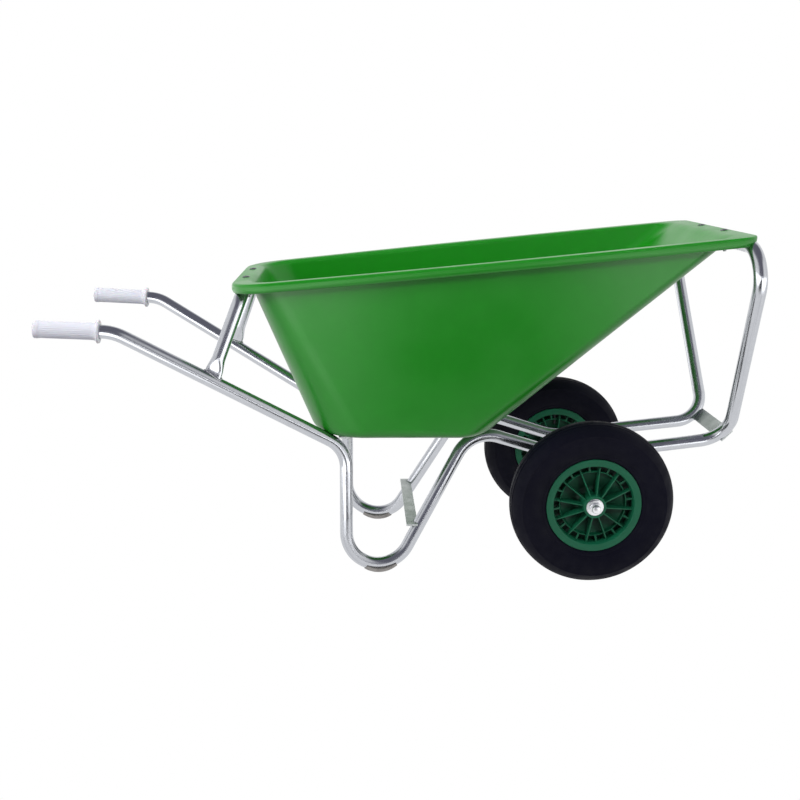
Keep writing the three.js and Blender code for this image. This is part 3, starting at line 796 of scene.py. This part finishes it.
def corner_arc(centre_x, tangent_x, radius, half_width, is_rear):
    """A rounded corner that runs smoothly into the bowed side."""
    lean = np.arctan((half_width(tangent_x + MM) - half_width(tangent_x - MM)) / (2 * MM))
    centre_y = half_width(tangent_x) - radius * cos(lean)
    first, last = (pi, pi / 2 + lean) if is_rear else (pi / 2 + lean, 0)
    angles = np.linspace(first, last, CORNER_STEPS + 1)
    normals = np.stack([np.cos(angles), np.sin(angles)], axis=1)
    return np.array([centre_x, centre_y]) + radius * normals, normals


def plan(rear, front, rear_corner, front_corner, half_width):
    """Points and outward normals round an outline seen from above, from the middle of the
    rear end along the left side and back along the right."""
    rear, front, rear_corner, front_corner = (
        v * MM for v in (rear, front, rear_corner, front_corner))
    rear_x, front_x = rear + rear_corner, front - front_corner
    rear_points, rear_normals = corner_arc(rear_x, rear_x, rear_corner, half_width, True)
    front_points, front_normals = corner_arc(front_x, front_x, front_corner, half_width, False)
    points, normals = [], []
    for i in range(END_STEPS):
        points.append((rear, rear_points[0][1] * i / END_STEPS))
        normals.append((-1, 0))
    points.extend(rear_points)
    normals.extend(rear_normals)
    for x in np.linspace(rear_points[-1][0], front_points[0][0], SIDE_STEPS + 1)[1:-1]:
        lean = np.arctan((half_width(x + MM) - half_width(x - MM)) / (2 * MM))
        points.append((x, half_width(x)))
        normals.append((-sin(lean), cos(lean)))
    points.extend(front_points)
    normals.extend(front_normals)
    for i in reversed(range(END_STEPS)):
        points.append((front, front_points[-1][1] * i / END_STEPS))
        normals.append((1, 0))
    right = slice(-2, 0, -1)
    points, normals = np.array(points), np.array(normals)
    mirror = np.array([1, -1])
    return (np.concatenate([points, points[right] * mirror]),
            np.concatenate([normals, normals[right] * mirror]))


def ring_at(line, inset, height):
    """The outline moved inwards, at height(x, outward normal x)."""
    points, normals = line
    moved = points - normals * inset
    z = np.array([height(x, nx) for x, nx in zip(moved[:, 0], normals[:, 0])])
    return np.stack([moved[:, 0], moved[:, 1], z], axis=1)


def rounded_rings(corners):
    """Rings through (ring, radius, steps) corners, each corner rounded by a short curve."""
    rings = [corners[0][0]]
    for (before, _, _), (here, radius, steps), (after, _, _) in zip(corners, corners[1:], corners[2:]):
        back, onward = before - here, after - here
        back_length = np.linalg.norm(back, axis=1)[:, None]
        onward_length = np.linalg.norm(onward, axis=1)[:, None]
        reach = np.minimum(radius, 0.48 * np.minimum(back_length, onward_length))
        start = here + back / back_length * reach
        end = here + onward / onward_length * reach
        for t in np.linspace(0, 1, steps):
            rings.append(start * (1 - t) ** 2 + here * 2 * t * (1 - t) + end * t**2)
    rings.append(corners[-1][0])
    return rings


# Heights of the tub's corners, at x metres forwards from the axle, where the outline's outward
# normal has the x part nx.


def top(x, _nx):
    return rim_height(x)


def under(x, _nx):
    return rim_height(x) - LIP_THICKNESS


def skirt(x, nx):
    """The skirt's lower edge. At the nose the lip lies on the frame, so it is shorter there."""
    fade = smooth_step((0.99 - nx) / 0.25)
    return under(x, nx) - SKIRT_DROP * (0.5 + 0.5 * fade)


def widest(x, nx):
    return 0.3 * top(x, nx) + 0.7 * skirt(x, nx)


def level(height):
    return lambda _x, _nx: height


def moulded_tub():
    floor = plan(**FLOOR, half_width=lambda x: FLOOR_HALF_WIDTH)
    wall_top = plan(**WALL_TOP, half_width=lambda x: bowed_half_width(x) - FLANGE)
    edge = plan(**EDGE, half_width=bowed_half_width)
    corners = [
        (ring_at(floor, 62 * MM, level(FLOOR_Z)), 0, 1),
        (ring_at(floor, 0, level(FLOOR_Z)), 46 * MM, 12),
        (ring_at(wall_top, 0, under), 14 * MM, 9),
        (ring_at(edge, SKIRT_THICKNESS, under), 3 * MM, 5),
        (ring_at(edge, SKIRT_THICKNESS + SKIRT_LEAN, skirt), 1.6 * MM, 5),
        (ring_at(edge, SKIRT_LEAN, skirt), 2 * MM, 5),
        (ring_at(edge, 0, widest), 5 * MM, 7),
        (ring_at(edge, 0, top), 11 * MM, 11),
        (ring_at(wall_top, TUB_WALL, top), 14 * MM, 10),
        (ring_at(floor, TUB_WALL, level(FLOOR_Z + TUB_WALL)), 46 * MM, 12),
        (ring_at(floor, 62 * MM, level(FLOOR_Z + TUB_WALL)), 0, 1),
    ]
    rings = np.array(rounded_rings(corners)) + (AXLE[0], 0, 0)
    piece("moulded_tub", loft(rings), TUB, ["tub"], sharp=60)


# ---- Bolts through the lip ----------------------------------------------------------


def hex_rings(across_flats, low, high):
    """Rings of a hexagon nut whose corners are chamfered at both ends."""
    apothem = across_flats / 2
    angles = np.linspace(0, 2 * pi, 72, endpoint=False)
    reach = apothem / np.cos((angles + pi / 6) % (pi / 3) - pi / 6)
    chamfer = (reach - apothem) * tan(radians(30))

    def ring(radius, y):
        return np.stack([radius * np.sin(angles), y * np.ones(72), radius * np.cos(angles)], axis=1)

    flat = np.full(72, apothem * 0.97)
    return [ring(flat, low), ring(reach, low + chamfer), ring(reach, high - chamfer), ring(flat, high)]


def lip_tilt():
    """Turns a shape made along Y to stand square to the lip."""
    return Matrix.Rotation(-np.arctan(RIM_RISE), 3, "Y") @ Matrix.Rotation(pi / 2, 3, "X")


def lip_bolts():
    """Coach bolts with domed heads, and the nuts below the bars."""
    turn = np.array(lip_tilt())
    bars = {"front": from_axle(FRAME_CORNERS[-1][0]), "rear": from_axle(SUPPORT_BAR)}
    for place, bar in bars.items():
        rise = (rim_height(bar[0] - AXLE[0]) - bar[2]) * cos(np.arctan(RIM_RISE))
        seat = rise + 0.1 * MM
        tip = -TUBE_RADIUS - 12 * MM
        nut_top = -TUBE_RADIUS - 0.3 * MM
        bolt = turned(rounded_profile([
            (0, tip, 0), (4 * MM, tip, 0.8 * MM), (4 * MM, seat, 0), (10 * MM, seat, 0.8 * MM),
            (7 * MM, seat + 2.8 * MM, 3 * MM), (0, seat + 3.6 * MM, 0)], 6), 48)
        nut = loft(hex_rings(13 * MM, nut_top - 6.5 * MM, nut_top))
        for side, sign in SIDES.items():
            at = np.array([bar[0], sign * BOLT_Y, bar[2]])
            for name, node, (points, faces) in (
                    ("coach_bolt", "tub_bolt", bolt), ("hex_nut", "tub_nut", nut)):
                piece(f"{name}_{place}_{side}", (points @ turn.T + at, faces), DULL,
                      [f"{node}_{place}_{side}"])


# ---- Axle ---------------------------------------------------------------------------


def axle_parts():
    low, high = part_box("axle")
    shoulder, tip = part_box("outer_bearing_left")[1].y, high.y
    bar_radius, thread = (high.z - low.z) / 2, 7.5 * MM
    bar = [
        (0, -tip, 0), (thread, -tip, 1 * MM), (thread, -shoulder, 0), (bar_radius, -shoulder, 1 * MM),
        (bar_radius, shoulder, 1 * MM), (thread, shoulder, 0), (thread, tip, 1 * MM), (0, tip, 0)]
    piece("axle_bar", turned(rounded_profile(bar, 4), 48, AXLE), BRIGHT, ["axle"])
    for side, sign in SIDES.items():
        low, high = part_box(f"axle_spacer_{side}")
        spacer = [
            (bar_radius + 0.2 * MM, low.y, 0), (13.5 * MM, low.y, 0.8 * MM),
            (13.5 * MM, high.y, 0.8 * MM), (bar_radius + 0.2 * MM, high.y, 0)]
        piece(f"spacer_tube_{side}", turned(rounded_profile(spacer, 4), 48, AXLE), STRIP,
              [f"axle_spacer_{side}"])
        low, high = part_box(f"axle_washer_{side}")
        ring = [
            (thread + 0.2 * MM, low.y, 0), (19 * MM, low.y, 0.8 * MM), (19 * MM, high.y, 0.8 * MM),
            (thread + 0.2 * MM, high.y, 0)]
        piece(f"washer_{side}", turned(rounded_profile(ring, 4), 72, AXLE), BRIGHT,
              [f"axle_washer_{side}"])
        dome_nut(side, sign)


def dome_nut(side, sign):
    low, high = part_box(f"axle_nut_{side}")
    base, end = (low.y, high.y) if sign > 0 else (-high.y, -low.y)
    collar = base + 9 * MM
    dome = rounded_profile([
        (0, base, 0), (10.8 * MM, base, 0), (10.8 * MM, collar + 1 * MM, 1 * MM),
        (9.4 * MM, end - 2 * MM, 7 * MM), (0, end, 0)], 12)
    points, faces = joined(loft(hex_rings(24 * MM, base, collar)), turned(dome, 72))
    piece(f"dome_nut_{side}", (mirrored(points, sign) + AXLE, faces), BRIGHT,
          [f"axle_nut_{side}"])


# ---- Wheels, built about their own centre with +Y outboard ---------------------------


def tyre_shell():
    """A tyre with ridges on its sidewalls and plain ribs round its tread. Its outline is
    (radius, y) in millimetres."""
    half = [
        (103, 31), (115.4, 31), (117, 35.5), (121, 38.6), (125, 40.4), (127, 40.2), (129, 42),
        (134, 44.6), (141, 47), (149, 48.6), (158, 49), (166, 48.4), (173, 46.4), (175, 46.8),
        (177, 45.2), (181, 42), (185, 38.4), (188.4, 35), (191.6, 31), (193.4, 28.5), (194.8, 26),
        (195.9, 23.6), (196.3, 22.8), (193.6, 22), (193.8, 20), (197.4, 19.2), (198.2, 16), (198.7, 13),
        (198.8, 12.2), (195.8, 11.4), (196, 9), (199.4, 8.2), (199.8, 5), (200, 2)]
    inside = [
        (188, 15), (182, 28), (172, 38), (158, 43.5), (140, 41), (126, 34), (116, 27.5)]
    outer = half + [(r, -y) for r, y in reversed(half)]
    inner = [(r, -y) for r, y in reversed(inside)] + inside
    return turned(np.array(outer + inner) * MM, 192)


def radial_plate(inner, outer, half_thickness, angle):
    """A flat plate standing along a radius. inner and outer are its (radius, low y, high y)."""
    rings = []
    for radius, low, high in (inner, outer):
        near, far = -half_thickness, half_thickness
        rings.append([
            (radius * sin(angle) + side * cos(angle), y, radius * cos(angle) - side * sin(angle))
            for side, y in ((near, low), (far, low), (far, high), (near, high))])
    return loft(rings)


def rim_face():
    """One face of the rim: a dish with a ring of windows and twelve spokes."""
    dish = [
        (27, 0, 0), (82, 0, 0), (82, 20, 1), (79.5, 20.5, 1), (78.5, 9, 4), (40, 3, 6),
        (29, 10, 6), (27.5, 40, 2), (26, 40, 0)]
    shells = [turned(rounded_profile(dish, 5), 144)]
    for i in range(WINDOWS):
        angle = 2 * pi * (i + 0.5) / WINDOWS
        shells.append(radial_plate((81, 12, 19.5), (96.5, 12, 22), 2.2, angle))
    for i in range(SPOKES):
        angle = 2 * pi * (i + 0.25) / SPOKES
        shells.append(radial_plate((26, 2, 43), (96.5, 10, 27), 1.2, angle))
    points, faces = joined(*shells)
    return points * MM, faces


def rim_shell():
    """The hoop that holds the tyre, the hub, and a dish on each side of a closed disc."""
    hoop = [
        (98.5, -36, 1), (115.5, -37, 2), (115.5, -31.6, 1), (101.6, -31.6, 2), (98, -13, 3),
        (98, 13, 3), (101.6, 31.6, 2), (115.5, 31.6, 1), (115.5, 37, 2), (98.5, 36, 1),
        (96, 24, 1), (96, -24, 1)]
    seat, radius = 35, BEARING_RADIUS
    hub = [
        (12, -seat, 0), (radius, -seat, 0), (radius, -48, 0.5), (27, -48, 1.2), (28.5, 0, 0),
        (27, 48, 1.2), (radius, 48, 0.5), (radius, seat, 0), (12, seat, 0)]
    disc = [(27, -1.5, 0), (97, -1.5, 0), (97, 1.5, 0), (27, 1.5, 0)]
    turned_parts = [turned(rounded_profile(part, 5) * MM, 144) for part in (hoop, hub, disc)]
    points, faces = rim_face()
    return joined(*turned_parts, (points, faces), (mirrored(points, -1), faces))


def bearing(place, side, centre):
    low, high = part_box(f"{place}_bearing_{side}")
    start, end = low.y - centre[1], high.y - centre[1]
    hole, radius = 10.3 * MM, (high.z - low.z) / 2
    ring = rounded_profile([
        (hole, start, 0.6 * MM), (radius, start, 0.8 * MM), (radius, end, 0.8 * MM),
        (hole, end, 0.6 * MM)], 4)
    piece(f"roller_bearing_{place}_{side}", turned(ring, 64), BRIGHT,
          [f"{place}_bearing_{side}"], f"wheel_{side}", centre)


def wheels():
    parts = (("tyre_casing", "tyre", tyre_shell(), TYRE, "tyre"),
             ("spoked_rim", "wheel_rim", rim_shell(), RIM, "wheel_rim"))
    for side, sign in SIDES.items():
        centre = AXLE + np.array([0, sign * WHEEL_Y, 0])
        for name, node, (points, faces), material, slot in parts:
            piece(f"{name}_{side}", (mirrored(points, sign), faces), material,
                  [f"{node}_{side}"], f"wheel_{side}", centre)
        for place in ("inner", "outer"):
            bearing(place, side, centre)


def dress_carried_nodes():
    """The CAD's own nodes that stay in view get their finish here."""
    for side in SIDES:
        for name in ("inner_tube", "valve_stem", "valve_cap"):
            node = frame["nodes"][f"{name}_{side}"]
            node.data.materials.clear()
            node.data.materials.append(RUBBER)


# ---- Camera, light and floor ----------------------------------------------------------


def make_camera():
    azimuth, elevation, roll = CAMERA_AZIMUTH, CAMERA_ELEVATION, CAMERA_ROLL
    back = Vector((sin(azimuth) * cos(elevation), -cos(azimuth) * cos(elevation), sin(elevation)))
    right = Vector((cos(azimuth), sin(azimuth), 0))
    up = back.cross(right)
    tilted_right = right * cos(roll) + up * sin(roll)
    tilted_up = up * cos(roll) - right * sin(roll)
    camera = bpy.data.objects.new("camera", bpy.data.cameras.new("camera"))
    bpy.context.scene.collection.objects.link(camera)
    camera.data.sensor_width = 36
    camera.data.lens = CAMERA_LENS
    camera.data.clip_end = 200
    turn = Matrix((tilted_right, tilted_up, back)).transposed()
    camera.matrix_world = Matrix.Translation(CAMERA_PLACE) @ turn.to_4x4()
    bpy.context.scene.camera = camera


def soft_box(name, location, target, width, height, power):
    light = bpy.data.lights.new(name, "AREA")
    light.shape = "RECTANGLE"
    light.size, light.size_y = width, height
    light.energy = power
    made = bpy.data.objects.new(name, light)
    made.visible_glossy = False
    bpy.context.scene.collection.objects.link(made)
    made.location = location
    aim = Vector(target) - Vector(location)
    made.rotation_mode = "QUATERNION"
    made.rotation_quaternion = aim.to_track_quat("-Z", "Y")


def ramp(tree, source, start, stop, low, high):
    """Goes smoothly from low to high as the source goes from start to stop."""
    made = tree.nodes.new("ShaderNodeMapRange")
    made.interpolation_type = "SMOOTHSTEP"
    for socket, value in zip(("From Min", "From Max", "To Min", "To Max"), (start, stop, low, high)):
        made.inputs[socket].default_value = value
    tree.links.new(source, made.inputs["Value"])
    return made.outputs["Result"]


def combined(tree, operation, first, second):
    made = tree.nodes.new("ShaderNodeMath")
    made.operation = operation
    tree.links.new(first, made.inputs[0])
    tree.links.new(second, made.inputs[1])
    return made.outputs["Value"]


def make_world():
    """The room that lights the object: white behind it and at its ends, with a dark ceiling
    and a dark wall in front."""
    world = bpy.data.worlds.new("studio")
    bpy.context.scene.world = world
    world.use_nodes = True
    tree = world.node_tree
    direction = tree.nodes.new("ShaderNodeTexCoord").outputs["Generated"]
    split = tree.nodes.new("ShaderNodeSeparateXYZ")
    tree.links.new(direction, split.inputs["Vector"])
    lit = ramp(tree, split.outputs["Y"], *WHITE_BEHIND, 0, 1)
    for edge in WHITE_AT_THE_ENDS:
        lit = combined(tree, "MAXIMUM", lit, ramp(tree, split.outputs["X"], *edge, 0, 1))
    for edge in ((*DARK_CEILING, 1, 0), (*HORIZON, LIGHT_FROM_BELOW, 1)):
        lit = combined(tree, "MULTIPLY", lit, ramp(tree, split.outputs["Z"], *edge))
    mix = tree.nodes.new("ShaderNodeMix")
    mix.data_type = "RGBA"
    mix.inputs["A"].default_value = (*ROOM_COLOUR, 1)
    mix.inputs["B"].default_value = (1, 1, 1, 1)
    tree.links.new(lit, mix.inputs["Factor"])
    tree.links.new(mix.outputs["Result"], tree.nodes["Background"].inputs["Color"])


def glowing(name):
    """A surface that only gives off white light."""
    finish = Finish(name, (0, 0, 0), 1.0, Specular_IOR_Level=0.0)
    finish.shader.inputs["Emission Color"].default_value = (1, 1, 1, 1)
    finish.shader.inputs["Emission Strength"].default_value = 1.0
    return finish


def stage_piece(name, shell, finish, seen):
    """A piece of the studio that either the camera or the reflections see, but not both."""
    made = mesh_object(name, shell)
    made.data.materials.append(finish.material)
    made.visible_camera = seen == "by_camera"
    made.visible_glossy = seen == "in_reflections"
    made.visible_diffuse = False
    made.visible_shadow = False


def make_backdrop():
    """A white dome that stands on a white floor, which only the camera sees."""
    radius = 30
    angles = np.linspace(0, 2 * pi, 64, endpoint=False)
    circle = np.stack([np.cos(angles), np.sin(angles), np.zeros(64)], axis=1)
    rings = [circle * radius * cos(rise) + (0, 0, radius * sin(rise))
             for rise in np.linspace(0, radians(88), 24)]
    stage_piece("backdrop_dome", loft(rings), glowing("backdrop_white"), "by_camera")


def make_reflected_floor():
    """The floor as the object mirrors it: white round and behind the object, a dark stretch in
    front between two bright cards, and a brighter end at the rear."""
    half = 40
    depth = -1 * MM
    shell = ([(-half, -half, depth), (half, -half, depth), (half, half, depth), (-half, half, depth)],
             [(0, 1, 2, 3)])
    finish = glowing("reflected_floor")
    tree = finish.tree
    split = finish.node("ShaderNodeSeparateXYZ")
    finish.link(finish.place, split.inputs["Vector"])
    cards = [ramp(tree, split.outputs["X"], *edge) for edge in FRONT_CARDS]
    in_front = ramp(tree, split.outputs["Y"], *NEAR_FLOOR, 1, 0)
    cards = combined(tree, "MULTIPLY", combined(tree, "MAXIMUM", *cards), in_front)
    near = ramp(tree, split.outputs["Y"], *NEAR_FLOOR, 0, 1)
    side = ramp(tree, split.outputs["X"], *SIDE_CARD)
    glow = combined(tree, "ADD", combined(tree, "ADD", cards, near), side)
    finish.link(glow, finish.shader.inputs["Emission Strength"])
    stage_piece("reflected_floor", shell, finish, "in_reflections")


def make_studio():
    make_camera()
    make_world()
    make_backdrop()
    make_reflected_floor()
    for name, (location, size, power) in LIGHTS.items():
        soft_box(name, location, (0, 0, 0.5), *size, power)
    view = bpy.context.scene.view_settings
    view.view_transform = "Standard"
    view.look = "None"


# ---- The whole ------------------------------------------------------------------------

moulded_tub()
tube_trees = bent_tubes()
rear_support(tube_trees)
leg_brace(tube_trees)
nose_brace(tube_trees)
tub_rest()
wear_plates()
axle_plates(tube_trees)
hand_grips()
lip_bolts()
axle_parts()
wheels()
dress_carried_nodes()
make_studio()
